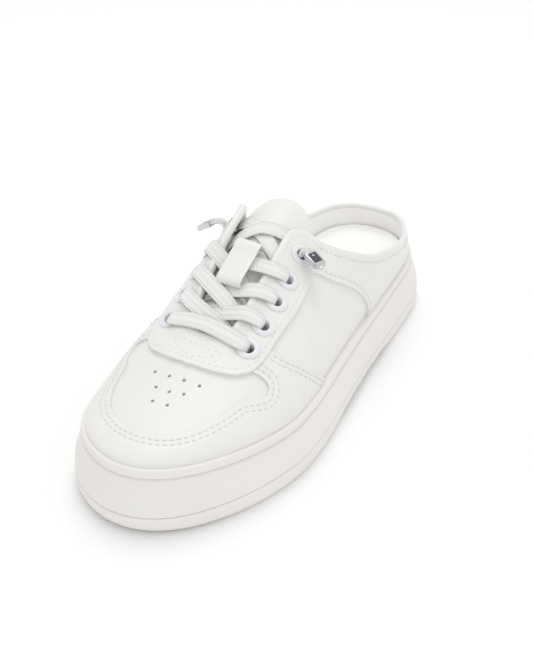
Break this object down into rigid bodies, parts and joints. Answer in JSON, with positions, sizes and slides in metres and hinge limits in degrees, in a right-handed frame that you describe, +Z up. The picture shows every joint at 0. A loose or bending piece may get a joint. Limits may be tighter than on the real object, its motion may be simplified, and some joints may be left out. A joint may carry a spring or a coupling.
{
  "type": "lace-up mule sneaker",
  "caption": "White leather lace-up sneaker with an open heel, for the left foot, on a thick cup sole with a rounded lip.",
  "frame": {"origin": "on the floor, under the middle of the sole's length and width", "axes": "+Z up, the toe points along -Y, +X is the outer side of the foot"},
  "size_m": [0.1052, 0.272, 0.0889],
  "materials": {
    "sole": "moulded rubber, satin, warm white",
    "upper_leather": "smooth coated leather, soft sheen, white",
    "lining": "smooth lining leather, matt, white",
    "eyelets": "white enamelled rings",
    "laces": "flat woven elastic, matt, white",
    "lace_clips": "polished folded metal"
  },
  "bodies": {
    "root": {"outsole": "sole", "midsole": "sole", "insole": "lining", "upper": "upper_leather", "toe_guard": "upper_leather", "eyestay": "upper_leather", "heel_panel": "upper_leather", "tongue": "upper_leather", "tongue_loop": "upper_leather", "eyelet_lateral_1": "eyelets", "eyelet_lateral_2": "eyelets", "eyelet_lateral_3": "eyelets", "eyelet_lateral_4": "eyelets", "eyelet_lateral_5": "eyelets", "eyelet_medial_1": "eyelets", "eyelet_medial_2": "eyelets", "eyelet_medial_3": "eyelets", "eyelet_medial_4": "eyelets", "eyelet_medial_5": "eyelets", "lace_bar": "laces", "lace_cross_1": "laces", "lace_cross_2": "laces", "lace_cross_3": "laces", "lace_cross_4": "laces", "lace_end_lateral": "laces", "lace_end_medial": "laces", "clip_lateral": "lace_clips", "clip_medial": "lace_clips"}
  },
  "joints": []
}
